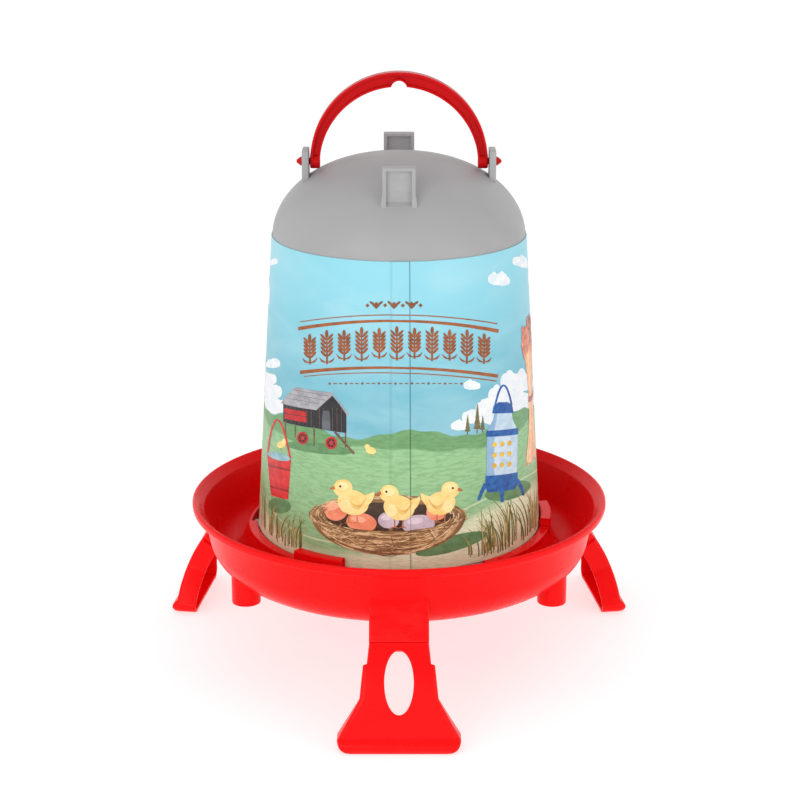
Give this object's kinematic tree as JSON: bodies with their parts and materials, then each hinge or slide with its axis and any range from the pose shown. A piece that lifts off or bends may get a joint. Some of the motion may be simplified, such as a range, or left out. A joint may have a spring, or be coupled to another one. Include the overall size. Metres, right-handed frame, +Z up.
{
  "type": "poultry waterer fount",
  "caption": "Bell-shaped water reservoir with a printed wrap and a folding bail handle, standing in a round drinking trough on plug-in legs.",
  "frame": {"origin": "centre of the bounding box's footprint, at floor level; the tray's axis stands at y = +0.0219", "axes": "+Z up; -Y towards the front leg; +X to the right seen from the front, along the bail's pins"},
  "size_m": [0.371, 0.3639, 0.448],
  "materials": {
    "red_plastic": "moulded, soft gloss",
    "grey_plastic": "moulded, satin",
    "printed_wrap": "printed film, satin"
  },
  "bodies": {
    "tray": {"tray": "red_plastic"},
    "reservoir": {"reservoir": "grey_plastic", "label_wrap": "printed_wrap"},
    "bail": {"bail_handle": "red_plastic"},
    "leg_front": {"leg_front": "red_plastic"},
    "leg_rear_left": {"leg_rear_left": "red_plastic"},
    "leg_rear_right": {"leg_rear_right": "red_plastic"}
  },
  "joints": [
    {"name": "bail_hinge", "type": "hinge", "parent": "reservoir", "child": "bail", "pos_m": [0, 0.0219, 0.382], "axis": [1, 0, 0], "range_deg": [-86, 86]},
    {"name": "reservoir_lift", "type": "slide", "parent": "tray", "child": "reservoir", "axis": [0, 0, 1], "range_m": [0, 0.06]},
    {"name": "leg_front_pull", "type": "slide", "parent": "tray", "child": "leg_front", "axis": [0, -0.7071, -0.7071], "range_m": [0, 0.014]},
    {"name": "leg_rear_left_pull", "type": "slide", "parent": "tray", "child": "leg_rear_left", "axis": [-0.7018, 0.0862, -0.7071], "range_m": [0, 0.014]},
    {"name": "leg_rear_right_pull", "type": "slide", "parent": "tray", "child": "leg_rear_right", "axis": [0.7018, 0.0862, -0.7071], "range_m": [0, 0.014]}
  ]
}
